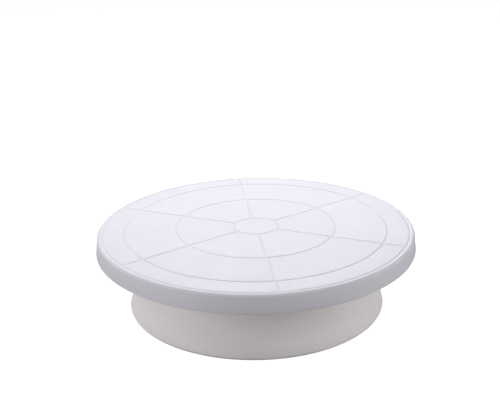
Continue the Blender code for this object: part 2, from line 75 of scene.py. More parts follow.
# Plate
PLATE_WEB = 2.8 * MM
SKIRT_BOTTOM = HEIGHT - 14.8 * MM
SKIRT_WALL = 2.4 * MM
SKIRT_EDGE = 0.7 * MM  # rounding of the skirt's lower edge, outside
SKIRT_INNER_EDGE = 0.4 * MM
SKIRT_DRAFT = 1.0 * MM  # how much thicker the skirt's wall is at its root
SKIRT_FILLET = 2.2 * MM  # between the skirt and the underside
TOP_ROUND = 2.4 * MM
FLAT_RADIUS = 136.3 * MM  # where the top face turns into the rounded rim
RIM_END_TILT = 6  # degrees that the surface leans where the rounded rim goes over into the skirt
SKIRT_END_TILT = 4  # the same, where the skirt goes over into its lower edge
GUIDE_RING_RADII = (19.2 * MM, 70.2 * MM, 115.2 * MM, 134.3 * MM)
GUIDE_LINE_COUNT = 6
FIRST_GUIDE_ANGLE = math.radians(-22.8)
GUIDE_HALF_FLOOR = 0.25 * MM  # from a groove's middle to the foot of its side
GUIDE_HALF_WIDTH = 1.25 * MM
GUIDE_DEPTH = 0.35 * MM
GUIDE_SIDE = [distance * MM for distance in (0.2, 0.38, 0.55, 0.75, 0.95, 1.15, 1.4)]
GUIDE_STATIONS = [-distance for distance in reversed(GUIDE_SIDE)] + [0] + GUIDE_SIDE  # rows across a groove
FIXED_SPACING_RADIUS = GUIDE_RING_RADII[0] - 2 * MM  # inside it, the mesh columns run to the middle
FIELD_COLUMNS = 28  # columns of the plate's mesh between two guide lines
FACE_STEP = 5.5 * MM  # spacing of the rows between two guide rings
RIB_WALL = 1.8 * MM
RIB_ROOT = HEIGHT - 2.0 * MM  # inside the plate's own thickness
RIB_END_RADIUS = PLATE_RADIUS - 1.8 * MM  # inside the skirt's wall
OUTER_RIB_BOTTOMS = (HEIGHT - 12.0 * MM, HEIGHT - 8.0 * MM)  # at the ball track, at the skirt
INNER_RIB_BOTTOMS = (HEIGHT - 13.5 * MM, HEIGHT - 10.5 * MM)  # at the boss, at the ball track
RIB_EDGE = 0.4 * MM
RIB_FILLET = 0.5 * MM
FIN_EDGE = 0.35 * MM
PLATE_RING_RIBS = (114 * MM, 91 * MM)
RING_RIB_BOTTOM = HEIGHT - 8.5 * MM
TRACK_GAP = 3.6 * MM  # between the two ring ribs that the balls run against
TRACK_BOTTOM = BALL_HEIGHT + 2.65 * MM
TRACK_FILLET = 0.4 * MM
BOSS_RADIUS = 12.5 * MM
BOSS_DRAFT = 0.4 * MM  # how much the boss widens towards its root
BOSS_FILLET = 1.2 * MM
BOSS_EDGE = 0.5 * MM
BOSS_BORE_EDGE = 0.3 * MM
BOSS_OVERLAP = 2 * MM  # how far the inner ribs run into the boss

# Base
SHELL_WALL = 2.6 * MM
DECK_WALL = 2.6 * MM
LIP_ROUND = 2.2 * MM
LIP_INNER_RADIUS = 109.4 * MM
LIP_INNER_EDGE = 0.6 * MM
LOWER_DOME_ROUND = 31 * MM
SHOULDER_ROUND = 6 * MM
LIP_TILT, LOWER_TILT, UPPER_TILT = 14.7, 38, 48  # degrees that the wall leans in, where each arc ends
INNER_WALL_TILT = 18  # the same, where the wall's inner side ends above the lip
RIB_TIP_TILT = 22  # the same, where the ribs end in the wall
BALL_GAP = 0.25 * MM  # ball to groove floor
TRACK_PAD = 5.0 * MM  # half width of the thicker deck under the ball groove
TRACK_PAD_FLARE = 1.0 * MM  # how much the pad widens towards the deck
TRACK_PAD_BOTTOM = 47.3 * MM
BASE_RING_RIB_BOTTOM = 38 * MM
BASE_RIB_WALL = 2.0 * MM
BASE_RIB_BOTTOM = 28 * MM  # at the hub
BASE_RIB_TOP = DECK_TOP - 2.0 * MM  # inside the deck's own thickness
BASE_RIB_OVERLAP = 2.5 * MM  # how far the ribs run into the hub
HUB_RADIUS = 10.5 * MM
HUB_DRAFT = 0.4 * MM  # how much the hub widens towards its root
HUB_FILLET = 2.0 * MM
HUB_EDGE = 0.5 * MM
HUB_BORE_EDGE = 0.3 * MM
HUB_BORE = 6.5 * MM
HUB_BOTTOM = 24 * MM
HUB_SHOULDER_BORE = 5.0 * MM
HUB_SHOULDER_TOP = 26 * MM
FOOT_COUNT = 6
FOOT_CIRCLE = 97 * MM
FOOT_BOSS_RADIUS = 8.6 * MM
FOOT_BOSS_BOTTOM = 1.4 * MM
FOOT_BOSS_STEPS = 48
FOOT_BOSS_EDGE = 0.4 * MM
FOOT_RECESS_EDGE = 0.2 * MM
FOOT_EDGE = 0.5 * MM
FOOT_DISH_DEPTH = 0.25 * MM
FOOT_TREAD_WIDTH = 2.0 * MM  # the ring of the pad that stands on the floor
FOOT_TREAD_SLOPE = 0.4 * MM
FOOT_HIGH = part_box("foot_pad_1")[1].z
FOOT_RADIUS = (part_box("foot_pad_1")[1].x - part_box("foot_pad_1")[0].x) / 2

# Cage, spindle and what holds it
CAGE_EDGE = 0.5 * MM
POCKET_STEPS = 32
SPINDLE_RADIUS = 4 * MM
SPINDLE_HEAD_HEIGHT = 3 * MM
SPINDLE_EDGE = 0.4 * MM
TAPPED_HOLE_RADIUS = 2.2 * MM
TAPPED_HOLE_TOP = 36 * MM
TAPPED_HOLE_POINT = 1 * MM  # height of the drill point's cone
BUSH_EDGE = 0.3 * MM
THRUST_WASHER_BORE = 4.4 * MM
STEEL_WASHER_BORE = 2.3 * MM
THRUST_WASHER_EDGE = 0.15 * MM
FLAT_WASHER_EDGE = 0.25 * MM
LOCK_WASHER_EDGE = 0.1 * MM
LOCK_SPLIT_WIDTH = 0.8 * MM
LOCK_SPLIT_REACH = (1 * MM, 6 * MM)  # radii between which the split's cutter runs
LOCK_SPLIT_ANGLE = math.radians(7)
SCREW_RADIUS = 2.0 * MM
SCREW_HEAD_HEIGHT = 2.8 * MM
SCREW_TIP = (0.6 * MM, 0.5 * MM)  # width and height of the tip's bevel
SCREW_PITCH = 0.7 * MM
SCREW_THREAD_DEPTH = 0.35 * MM
SCREW_PLAIN_SHANK = 0.8 * MM
SCREW_SHOULDER_WIDTH = 0.9 * MM  # of the head's sloped top
SCREW_SHOULDER_HEIGHT = 1.2 * MM
SCREW_SHOULDER_ROUND = 0.3 * MM
SCREW_HEAD_ROUND = 1.6 * MM
RECESS_WIDTH = 0.8 * MM
RECESS_DEPTH = 1.6 * MM
RECESS_MOUTH, RECESS_FLOOR = 2.2 * MM, 1.2 * MM  # half lengths below the head and at the recess's floor

# Camera: its place from the middle of the top face, its turns from looking straight at it, and its lens
CAMERA_DISTANCE = 0.7573
CAMERA_ELEVATION = math.radians(21.49)
CAMERA_PAN = math.radians(-0.341)
CAMERA_TILT = math.radians(1.383)
CAMERA_ROLL = math.radians(-0.952)
CAMERA_LENS = 61.75
SENSOR_WIDTH = 36  # millimetres, like the lens
NEAREST_SEEN = 0.01

# Studio floor and wall
STUDIO_RADIUS = 6.0
STUDIO_HEIGHT = 6.0
WALL_FOOT = 0.1  # thickness of the wall at the floor
STUDIO_GREY = (0.5, 0.5, 0.5)
STUDIO_GLOW = 0.94

# Light: every softbox is aimed at the target
LIGHT_TARGET = Vector((0, 0, 0.05))
WORLD_STRENGTH = 0.06
WHITE_LIGHT = (1, 1, 1)
WARM_LIGHT = (1.0, 0.965, 0.985)
COOL_LIGHT = (0.96, 0.95, 1.0)
LOW_ELEVATION = 15  # degrees
LOW_DISTANCE = 1.7
LOW_SIZE = (0.7, 0.5)  # width and height
LOW_SOFTBOXES = (  # name, azimuth in degrees, watts
    ("front_right", 30, 7.5),
    ("front_left", -60, 7),
    ("right", 90, 10),
    ("left", -90, 11),
    ("rear_right", 135, 3),
    ("rear_left", -135, 3),
    ("rear", 180, 9),
)
HIGH_SOFTBOXES = (  # name, azimuth, elevation, distance, size, watts, colour, mirrored
    ("high_front_right_softbox", 45, 40, 1.4, (0.7, 0.6), 1.3, WARM_LIGHT, False),
    ("high_left_softbox", -80, 45, 1.4, (0.6, 0.5), 1.0, WARM_LIGHT, False),
    ("high_rear_softbox", -174, 38, 0.85, (1.0, 0.5), 5.2, COOL_LIGHT, True),
    ("rear_strip", 180, 20, 1.4, (1.2, 0.3), 0.8, WHITE_LIGHT, True),
)


# ---------------------------------------------------------------- materials

PLASTIC_IOR = 1.49
PLASTIC_SCATTER = (1.0, 0.95, 0.85)  # how far red, green and blue light spread, as shares of the depth
PLASTIC_SCATTER_DEPTH = 3 * MM
RIPPLE_DEPTH = 0.03 * MM
STEEL_MOTTLE = 0.86
TOOL_MARK_DEPTH = 0.004 * MM
RUBBER_GRAIN_DEPTH = 0.03 * MM


def shader_of(name):
    material = bpy.data.materials.new(name)
    material.use_nodes = True
    return material, material.node_tree, material.node_tree.nodes["Principled BSDF"]


def noise(tree, scale, detail=2.0, roughness=0.5, stretch=(1, 1, 1)):
    """Noise over the piece's own coordinates, in features per metre, times stretch along each axis."""
    where = tree.nodes.new("ShaderNodeTexCoord")
    mapping = tree.nodes.new("ShaderNodeMapping")
    mapping.inputs["Scale"].default_value = stretch
    texture = tree.nodes.new("ShaderNodeTexNoise")
    texture.inputs["Scale"].default_value = scale
    texture.inputs["Detail"].default_value = detail
    texture.inputs["Roughness"].default_value = roughness
    tree.links.new(where.outputs["Object"], mapping.inputs["Vector"])
    tree.links.new(mapping.outputs["Vector"], texture.inputs["Vector"])
    return texture.outputs["Fac"]


def spread(tree, value, low, high, start=0.3, end=0.7):
    """Maps value from start..end to low..high."""
    ranged = tree.nodes.new("ShaderNodeMapRange")
    ranged.inputs["From Min"].default_value = start
    ranged.inputs["From Max"].default_value = end
    ranged.inputs["To Min"].default_value = low
    ranged.inputs["To Max"].default_value = high
    tree.links.new(value, ranged.inputs["Value"])
    return ranged.outputs["Result"]


def between(tree, factor, colour_a, colour_b):
    mix = tree.nodes.new("ShaderNodeMix")
    mix.data_type = "RGBA"
    mix.inputs["A"].default_value = (*colour_a, 1)
    mix.inputs["B"].default_value = (*colour_b, 1)
    tree.links.new(factor, mix.inputs["Factor"])
    return mix.outputs["Result"]


def bumps(tree, shader, *layers):
    """Stacks bump layers, each a height socket and its depth in metres."""
    normal = None
    for height, depth in layers:
        bump = tree.nodes.new("ShaderNodeBump")
        bump.inputs["Strength"].default_value = 1
        bump.inputs["Distance"].default_value = depth
        tree.links.new(height, bump.inputs["Height"])
        if normal:
            tree.links.new(normal, bump.inputs["Normal"])
        normal = bump.outputs["Normal"]
    tree.links.new(normal, shader.inputs["Normal"])


def moulded_plastic(name, colour, shade, roughness, grain, depth, milky):
    """Satin moulded plastic: a spark-eroded grain, faint flow clouds, and a roughness that wanders a little.

    Grain is in features per metre, depth is the grain's, and milky is how much light enters the plastic.
    """
    material, tree, shader = shader_of(name)
    clouds = spread(tree, noise(tree, scale=14, detail=3), 0, 1)
    tree.links.new(between(tree, clouds, colour, shade), shader.inputs["Base Color"])
    patches = noise(tree, scale=60, detail=4, roughness=0.6)
    tree.links.new(spread(tree, patches, roughness - 0.03, roughness + 0.05), shader.inputs["Roughness"])
    shader.inputs["IOR"].default_value = PLASTIC_IOR
    shader.inputs["Subsurface Weight"].default_value = milky
    shader.inputs["Subsurface Radius"].default_value = PLASTIC_SCATTER
    shader.inputs["Subsurface Scale"].default_value = PLASTIC_SCATTER_DEPTH
    fine = noise(tree, scale=grain, detail=2, roughness=0.6)
    ripples = noise(tree, scale=90, detail=2)
    bumps(tree, shader, (fine, depth), (ripples, RIPPLE_DEPTH))
    return material


def steel(name, colour, roughness, marks, stretch=(1, 1, 1)):
    """Steel with a slightly mottled finish, and fine tool marks in features per metre."""
    material, tree, shader = shader_of(name)
    shader.inputs["Metallic"].default_value = 1
    mottle = spread(tree, noise(tree, scale=350, detail=4, roughness=0.6), 0, 1)
    darker = [channel * STEEL_MOTTLE for channel in colour]
    tree.links.new(between(tree, mottle, colour, darker), shader.inputs["Base Color"])
    worn = noise(tree, scale=700, detail=3)
    tree.links.new(spread(tree, worn, roughness * 0.8, roughness * 1.35), shader.inputs["Roughness"])
    tool_marks = noise(tree, scale=marks, detail=3, roughness=0.7, stretch=stretch)
    bumps(tree, shader, (tool_marks, TOOL_MARK_DEPTH))
    return material


def rubber(name, colour, shade):
    """Matt rubber with a little dust in its grain."""
    material, tree, shader = shader_of(name)
    dust = spread(tree, noise(tree, scale=500, detail=4, roughness=0.7), 0, 1)
    tree.links.new(between(tree, dust, colour, shade), shader.inputs["Base Color"])
    tree.links.new(spread(tree, noise(tree, scale=1200, detail=2), 0.72, 0.9), shader.inputs["Roughness"])
    bumps(tree, shader, (noise(tree, scale=2600, detail=3, roughness=0.6), RUBBER_GRAIN_DEPTH))
    return material


PLATE_PLASTIC = moulded_plastic(
    "plate_plastic",
    colour=(0.765, 0.765, 0.815),
    shade=(0.745, 0.745, 0.800),
    roughness=0.42,
    grain=2200,
    depth=0.010 * MM,
    milky=0.05,
)
BASE_PLASTIC = moulded_plastic(
    "base_plastic",
    colour=(0.815, 0.80, 0.78),
    shade=(0.795, 0.78, 0.762),
    roughness=0.48,
    grain=1800,
    depth=0.012 * MM,
    milky=0.25,
)
ACETAL = moulded_plastic(
    "natural_acetal",
    colour=(0.78, 0.77, 0.71),
    shade=(0.75, 0.74, 0.68),
    roughness=0.45,
    grain=3000,
    depth=0.008 * MM,
    milky=0.1,
)
NYLON = moulded_plastic(
    "nylon",
    colour=(0.72, 0.70, 0.62),
    shade=(0.69, 0.67, 0.59),
    roughness=0.5,
    grain=3000,
    depth=0.008 * MM,
    milky=0.1,
)
BALL_STEEL = steel("ball_steel", colour=(0.72, 0.73, 0.75), roughness=0.12, marks=1500)
TURNED_STEEL = steel(
    "turned_steel", colour=(0.66, 0.67, 0.69), roughness=0.26, marks=900, stretch=(1, 1, 14)
)
ZINC_STEEL = steel("zinc_steel", colour=(0.60, 0.63, 0.66), roughness=0.34, marks=2400)
FOOT_RUBBER = rubber("foot_rubber", (0.11, 0.115, 0.12), (0.16, 0.165, 0.17))


# ---------------------------------------------------------------- mesh helpers


def arc(centre, radius, start, end, steps):
    """Points of an arc in the (radius, height) plane. Angles are in degrees, from the outward side."""
    angles = [math.radians(start + (end - start) * i / steps) for i in range(steps + 1)]
    return [(centre[0] + radius * math.cos(a), centre[1] + radius * math.sin(a)) for a in angles]


def rounded_corner(radius, bottom, edge, start=0, steps=FILLET_STEPS):
    """The lower outer corner of a turned shape, from its side round to its underside."""
    return arc((radius - edge, bottom + edge), edge, start, -90, steps)


def rounded_rib(inner, outer, root, bottom, fillet=RIB_FILLET):
    """A ring rib, from its outer root to its inner root: rounded lower edges and a fillet at each root."""
    return (
        arc((outer + fillet, root - fillet), fillet, 90, 180, FILLET_STEPS)
        + rounded_corner(outer, bottom, RIB_EDGE)
        + arc((inner + RIB_EDGE, bottom + RIB_EDGE), RIB_EDGE, -90, -180, FILLET_STEPS)
        + arc((inner - fillet, root - fillet), fillet, 0, 90, FILLET_STEPS)
    )


def shade_smoothly(mesh):
    """Smooth shading, with the sharp edges kept."""
    mesh.shade_smooth()
    mesh.set_sharp_from_angle(angle=CREASE)


def finish_mesh(bm, name, material):
    """The mesh object, shaded smooth between its creases."""
    bmesh.ops.recalc_face_normals(bm, faces=bm.faces)
    mesh = bpy.data.meshes.new(name)
    bm.to_mesh(mesh)
    bm.free()
    shade_smoothly(mesh)
    mesh.materials.append(material)
    obj = bpy.data.objects.new(name, mesh)
    bpy.context.scene.collection.objects.link(obj)
    return obj


def spin_outline(bm, outline, steps):
    """Adds the solid that a (radius, height) outline sweeps round Z.

    An outline that starts on the axis ends on it too, and isn't joined end to end.
    """
    verts = [bm.verts.new((radius, 0, height)) for radius, height in outline]
    edges = [bm.edges.new(pair) for pair in zip(verts, verts[1:])]
    if outline[0][0] > 0:
        edges.append(bm.edges.new((verts[-1], verts[0])))
    bmesh.ops.spin(
        bm, geom=verts + edges, cent=(0, 0, 0), axis=(0, 0, 1), angle=math.tau, steps=steps, use_merge=True
    )
    bmesh.ops.remove_doubles(bm, verts=bm.verts, dist=MERGE_DISTANCE)


def add_fin(bm, outline, wall, angle, edge=0):
    """Adds a flat fin: a (radius, height) outline as thick as wall, at an angle round Z.

    Edge is the width of the bevel along its edges, and 0 leaves them sharp.
    """
    verts = [bm.verts.new((radius, -wall / 2, height)) for radius, height in outline]
    face = bm.faces.new(verts)
    grown = bmesh.ops.extrude_face_region(bm, geom=[face])["geom"]
    moved = [item for item in grown if isinstance(item, bmesh.types.BMVert)]
    bmesh.ops.translate(bm, verts=moved, vec=(0, wall, 0))
    bmesh.ops.rotate(bm, verts=verts + moved, cent=(0, 0, 0), matrix=Matrix.Rotation(angle, 3, "Z"))
    if edge:
        edges = list({e for v in verts + moved for e in v.link_edges})
        bmesh.ops.bevel(bm, geom=edges, offset=edge, segments=2, profile=0.5, affect="EDGES")


def add_cylinder(bm, centre, radius, bottom, top, steps):
    place = Matrix.Translation((centre[0], centre[1], (bottom + top) / 2))
    bmesh.ops.create_cone(
        bm, cap_ends=True, segments=steps, radius1=radius, radius2=radius, depth=top - bottom, matrix=place
    )


def polar(radius, angle):
    return (radius * math.cos(angle), radius * math.sin(angle))


def cut(obj, bm):
    """Takes the solid in bm out of obj."""
    cutter = finish_mesh(bm, f"{obj.name}_cutter", BALL_STEEL)
    modifier = obj.modifiers.new("cut", "BOOLEAN")
    modifier.operation = "DIFFERENCE"
    modifier.solver = "EXACT"
    modifier.object = cutter
    bpy.context.view_layer.update()
    evaluated = obj.evaluated_get(bpy.context.evaluated_depsgraph_get())
    mesh = bpy.data.meshes.new_from_object(evaluated)
    obj.modifiers.clear()
    obj.data = mesh
    shade_smoothly(mesh)
    bpy.data.objects.remove(cutter)


def stand_for(obj, node, body):
    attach(obj, body)
    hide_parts(node)
    return obj


def turned(name, outline, material, node, body, steps=SMALL_STEPS):
    bm = bmesh.new()
    spin_outline(bm, outline, steps)
    return stand_for(finish_mesh(bm, name, material), node, body)


# ---------------------------------------------------------------- plate


def guide_dip(distance):
    """Depth of a guide groove at a distance from its middle: a flat floor and soft sides."""
    along = (abs(distance) - GUIDE_HALF_FLOOR) / (GUIDE_HALF_WIDTH - GUIDE_HALF_FLOOR)
    along = min(max(along, 0), 1)
    return GUIDE_DEPTH * (1 - along * along * (3 - 2 * along))


def face_radii():
    """Radii of the top face's rows: close together over each guide ring, evenly spaced between them."""
    radii, last = [], 0
    for ring in GUIDE_RING_RADII:
        stations = [ring + station for station in GUIDE_STATIONS]
        gaps = math.ceil((stations[0] - last) / FACE_STEP)
        radii += [last + (stations[0] - last) * i / gaps for i in range(1, gaps)]
        radii += stations
        last = stations[-1]
    return radii


def plate_rows():
    """The plate's outline below the top face, from the rim round to the top of the spindle's seat."""
    web = HEIGHT - PLATE_WEB
    inner = PLATE_RADIUS - SKIRT_WALL
    spindle_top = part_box("spindle")[1]
    head = spindle_top.x + AXIS_GAP
    bore = SPINDLE_RADIUS + AXIS_GAP
    head_bottom = spindle_top.z - SPINDLE_HEAD_HEIGHT - SEAT_GAP
    head_top = spindle_top.z + SEAT_GAP
    half_rib, half_gap = RIB_WALL / 2, TRACK_GAP / 2
    rim = arc((FLAT_RADIUS, HEIGHT - TOP_ROUND), TOP_ROUND, 90, RIM_END_TILT, steps=10)
    skirt_foot = rounded_corner(PLATE_RADIUS, SKIRT_BOTTOM, SKIRT_EDGE, SKIRT_END_TILT, steps=5)
    inner_foot_centre = (inner + SKIRT_INNER_EDGE, SKIRT_BOTTOM + SKIRT_INNER_EDGE)
    inner_foot = arc(inner_foot_centre, SKIRT_INNER_EDGE, -90, -180, FILLET_STEPS)
    fillet_centre = (inner - SKIRT_DRAFT - SKIRT_FILLET, web - SKIRT_FILLET)
    rows = rim + skirt_foot + inner_foot + arc(fillet_centre, SKIRT_FILLET, 0, 90, steps=6)
    for radius in PLATE_RING_RIBS:
        rows += rounded_rib(radius - half_rib, radius + half_rib, web, RING_RIB_BOTTOM)
    for inside in (BALL_CIRCLE + half_gap, BALL_CIRCLE - half_gap - RIB_WALL):
        rows += rounded_rib(inside, inside + RIB_WALL, web, TRACK_BOTTOM, fillet=TRACK_FILLET)
    rows += arc((BOSS_RADIUS + BOSS_DRAFT + BOSS_FILLET, web - BOSS_FILLET), BOSS_FILLET, 90, 180, steps=4)
    rows += rounded_corner(BOSS_RADIUS, BOSS_BOTTOM, BOSS_EDGE)
    rows += arc((bore + BOSS_BORE_EDGE, BOSS_BOTTOM + BOSS_BORE_EDGE), BOSS_BORE_EDGE, -90, -180, steps=2)
    return rows + [(bore, head_bottom), (head, head_bottom), (head, head_top)]


def column_angle(column, radius):
    """The angle of a mesh column at a radius. Columns near a guide line run parallel to it."""
    sector, kind, value = column
    line = FIRST_GUIDE_ANGLE + math.tau * sector / GUIDE_LINE_COUNT
    reach = max(radius, FIXED_SPACING_RADIUS)
    if kind == "line":
        return line + math.asin(value / reach)
    edge = math.asin(GUIDE_STATIONS[-1] / reach)
    return line + edge + (math.tau / GUIDE_LINE_COUNT - 2 * edge) * value


def plate_columns():
    columns = []
    for sector in range(GUIDE_LINE_COUNT):
        columns += [(sector, "line", station) for station in GUIDE_STATIONS]
        columns += [(sector, "field", i / FIELD_COLUMNS) for i in range(1, FIELD_COLUMNS)]
    return columns


def face_height(column, radius):
    """Height of the top face, with the guide rings and lines let into it."""
    dip = max(guide_dip(radius - ring) for ring in GUIDE_RING_RADII)
    if column[1] == "line" and GUIDE_RING_RADII[0] <= radius <= GUIDE_RING_RADII[-1]:
        dip = max(dip, guide_dip(column[2]))
    return HEIGHT - dip


def make_plate():
    """The plate: a closed grid from the middle of the top face to the top of the spindle's seat, and ribs."""
    bm = bmesh.new()
    columns = plate_columns()
    rows = [(radius, None) for radius in face_radii()] + plate_rows()
    grid = []
    for radius, height in rows:
        ring = []
        for column in columns:
            z = face_height(column, radius) if height is None else height
            ring.append(bm.verts.new((*polar(radius, column_angle(column, radius)), z)))
        grid.append(ring)
    count = len(columns)
    for upper, lower in zip(grid, grid[1:]):
        for i in range(count):
            j = (i + 1) % count
            bm.faces.new((upper[i], upper[j], lower[j], lower[i]))
    for ring, height in ((grid[0], HEIGHT), (grid[-1], rows[-1][1])):
        pole = bm.verts.new((0, 0, height))
        for i in range(count):
            bm.faces.new((pole, ring[i], ring[(i + 1) % count]))
    add_plate_fins(bm)
    plate = finish_mesh(bm, "plate_moulding", PLATE_PLASTIC)
    stand_for(plate, "turntable_plate", "plate")


def fin_outline(inner, outer, inner_bottom, outer_bottom):
    return [(inner, RIB_ROOT), (outer, RIB_ROOT), (outer, outer_bottom), (inner, inner_bottom)]


def add_plate_fins(bm):
    """Outer ribs from the ball track to the skirt, and half as many inner ones from the boss to the track."""
    outer_track = BALL_CIRCLE + TRACK_GAP / 2 + RIB_WALL / 2
    inner_track = BALL_CIRCLE - TRACK_GAP / 2 - RIB_WALL / 2
    outer_fin = fin_outline(outer_track, RIB_END_RADIUS, *OUTER_RIB_BOTTOMS)
    inner_fin = fin_outline(BOSS_RADIUS - BOSS_OVERLAP, inner_track, *INNER_RIB_BOTTOMS)
    for i in range(RIB_COUNT):
        angle = math.tau * i / RIB_COUNT
        add_fin(bm, outer_fin, RIB_WALL, angle, FIN_EDGE)
        if i % 2 == 0:
            add_fin(bm, inner_fin, RIB_WALL, angle, FIN_EDGE)


# ---------------------------------------------------------------- base


def direction(tilt):
    """Outward normal of a wall that leans in by tilt degrees, in the (radius, height) plane."""
    return Vector((math.cos(math.radians(tilt)), math.sin(math.radians(tilt))))


def dome_arcs():
    """Centres of the lip, lower dome, upper dome and shoulder arcs, and the upper dome's radius."""
    lip = Vector((BASE_RADIUS - LIP_ROUND, LIP_BOTTOM + LIP_ROUND))
    lower = lip - (LOWER_DOME_ROUND - LIP_ROUND) * direction(LIP_TILT)
    joint = lower + LOWER_DOME_ROUND * direction(LOWER_TILT)
    shoulder_height = DECK_TOP - SHOULDER_ROUND
    rise = shoulder_height + SHOULDER_ROUND * direction(UPPER_TILT).y - joint.y
    upper_round = rise / (direction(UPPER_TILT).y - direction(LOWER_TILT).y)
    upper = joint - upper_round * direction(LOWER_TILT)
    shoulder = upper + (upper_round - SHOULDER_ROUND) * direction(UPPER_TILT)
    return lip, lower, upper, shoulder, upper_round


def shell_side(inset, first_tilt):
    """The dome from its shoulder down to first_tilt, set in from the outer surface by inset."""
    _, lower, upper, shoulder, upper_round = dome_arcs()
    return (
        arc(shoulder, SHOULDER_ROUND - inset, 90, UPPER_TILT, steps=8)[:-1]
        + arc(upper, upper_round - inset, UPPER_TILT, LOWER_TILT, steps=12)[:-1]
        + arc(lower, LOWER_DOME_ROUND - inset, LOWER_TILT, first_tilt, steps=12)
    )


def height_in_wall(radius):
    """Height of the middle of the dome wall at a radius."""
    middle = shell_side(SHELL_WALL / 2, LIP_TILT)
    for (inner, high), (outer, low) in zip(middle, middle[1:]):
        if inner <= radius <= outer:
            return high + (low - high) * (radius - inner) / (outer - inner)
    raise ValueError(f"no dome wall at radius {radius}")


def base_outline():
    """The base's closed outline: hub, deck with the ball groove, dome, lip, and back along the underside."""
    groove = BALL_RADIUS + BALL_GAP
    groove_edge = math.degrees(math.asin((BALL_HEIGHT - DECK_TOP) / groove))
    under_deck = DECK_TOP - DECK_WALL
    half_rib = BASE_RIB_WALL / 2
    bore_edge_centre = (HUB_SHOULDER_BORE + HUB_BORE_EDGE, HUB_BOTTOM + HUB_BORE_EDGE)
    hub_bore = [
        *arc(bore_edge_centre, HUB_BORE_EDGE, -90, -180, steps=2),
        (HUB_SHOULDER_BORE, HUB_SHOULDER_TOP),
        (HUB_BORE, HUB_SHOULDER_TOP),
        (HUB_BORE, DECK_TOP),
    ]
    track = arc((BALL_CIRCLE, BALL_HEIGHT), groove, 180 + groove_edge, 360 - groove_edge, steps=18)
    lip_round = arc(dome_arcs()[0], LIP_ROUND, LIP_TILT, -90, steps=8)[1:]
    inner_lip_centre = (LIP_INNER_RADIUS + LIP_INNER_EDGE, LIP_BOTTOM + LIP_INNER_EDGE)
    inner_lip = arc(inner_lip_centre, LIP_INNER_EDGE, -90, -180, FILLET_STEPS)
    ring_rib = rounded_rib(
        BALL_CIRCLE - half_rib, BALL_CIRCLE + half_rib, TRACK_PAD_BOTTOM, BASE_RING_RIB_BOTTOM
    )
    under = [
        (BALL_CIRCLE + TRACK_PAD + TRACK_PAD_FLARE, under_deck),
        (BALL_CIRCLE + TRACK_PAD, TRACK_PAD_BOTTOM),
        *ring_rib,
        (BALL_CIRCLE - TRACK_PAD, TRACK_PAD_BOTTOM),
        (BALL_CIRCLE - TRACK_PAD - TRACK_PAD_FLARE, under_deck),
        *arc((HUB_RADIUS + HUB_DRAFT + HUB_FILLET, under_deck - HUB_FILLET), HUB_FILLET, 90, 180, steps=5),
        *rounded_corner(HUB_RADIUS, HUB_BOTTOM, HUB_EDGE),
    ]
    inner_side = shell_side(SHELL_WALL, INNER_WALL_TILT)[::-1]
    return hub_bore + track + shell_side(0, LIP_TILT) + lip_round + inner_lip + inner_side + under


def add_base_fins(bm):
    """Radial ribs from the hub to the middle of the dome wall, which they follow down."""
    middle = shell_side(SHELL_WALL / 2, RIB_TIP_TILT)
    hub_end = HUB_RADIUS - BASE_RIB_OVERLAP
    fin = [
        (hub_end, BASE_RIB_BOTTOM),
        (hub_end, BASE_RIB_TOP),
        (middle[0][0], BASE_RIB_TOP),
        *middle[4::4],
    ]
    for i in range(RIB_COUNT):
        add_fin(bm, fin, BASE_RIB_WALL, math.tau * i / RIB_COUNT)


def add_foot_boss(bm, angle):
    """A hollow-ended boss whose foot is a ring round the pad, and whose top is hidden in the dome wall."""
    recess = FOOT_RADIUS + SEAT_GAP
    recess_edge_centre = (recess + FOOT_RECESS_EDGE, FOOT_BOSS_BOTTOM + FOOT_RECESS_EDGE)
    outline = [
        (FOOT_BOSS_RADIUS, None),
        *rounded_corner(FOOT_BOSS_RADIUS, FOOT_BOSS_BOTTOM, FOOT_BOSS_EDGE),
        *arc(recess_edge_centre, FOOT_RECESS_EDGE, -90, -180, steps=2),
        (recess, FOOT_HIGH + SEAT_GAP),
    ]
    centre = Vector((*polar(FOOT_CIRCLE, angle), 0))
    rings = []
    for radius, height in outline:
        ring = []
        for i in range(FOOT_BOSS_STEPS):
            place = centre + Vector((*polar(radius, math.tau * i / FOOT_BOSS_STEPS), 0))
            place.z = height_in_wall(place.xy.length) if height is None else height
            ring.append(bm.verts.new(place))
        rings.append(ring)
    for upper, lower in zip(rings, rings[1:]):
        for i in range(FOOT_BOSS_STEPS):
            j = (i + 1) % FOOT_BOSS_STEPS
            bm.faces.new((upper[i], lower[i], lower[j], upper[j]))
    bm.faces.new(rings[-1])
    bm.faces.new(rings[0][::-1])


def make_base():
    bm = bmesh.new()
    spin_outline(bm, base_outline(), ROUND_STEPS)
    add_base_fins(bm)
    for i in range(FOOT_COUNT):
        add_foot_boss(bm, math.tau * i / FOOT_COUNT)
    base = finish_mesh(bm, "base_moulding", BASE_PLASTIC)
    stand_for(base, "base_shell", "base")


def make_feet():
    """Rubber pads, slightly hollow underneath, so that each stands on a ring."""
    tread = FOOT_RADIUS - FOOT_TREAD_WIDTH
    outline = [
        (0, FOOT_DISH_DEPTH),
        (tread - FOOT_TREAD_SLOPE, FOOT_DISH_DEPTH),
        (tread, 0),
        *arc((FOOT_RADIUS - FOOT_EDGE, FOOT_EDGE), FOOT_EDGE, -90, 0, steps=4),
        (FOOT_RADIUS, FOOT_HIGH),
        (0, FOOT_HIGH),
    ]
    for i in range(FOOT_COUNT):
        bm = bmesh.new()
        spin_outline(bm, outline, SMALL_STEPS)
        foot = finish_mesh(bm, f"rubber_foot_{i + 1}", FOOT_RUBBER)
        foot.location = (*polar(FOOT_CIRCLE, math.tau * i / FOOT_COUNT), 0)
        stand_for(foot, f"foot_pad_{i + 1}", "base")


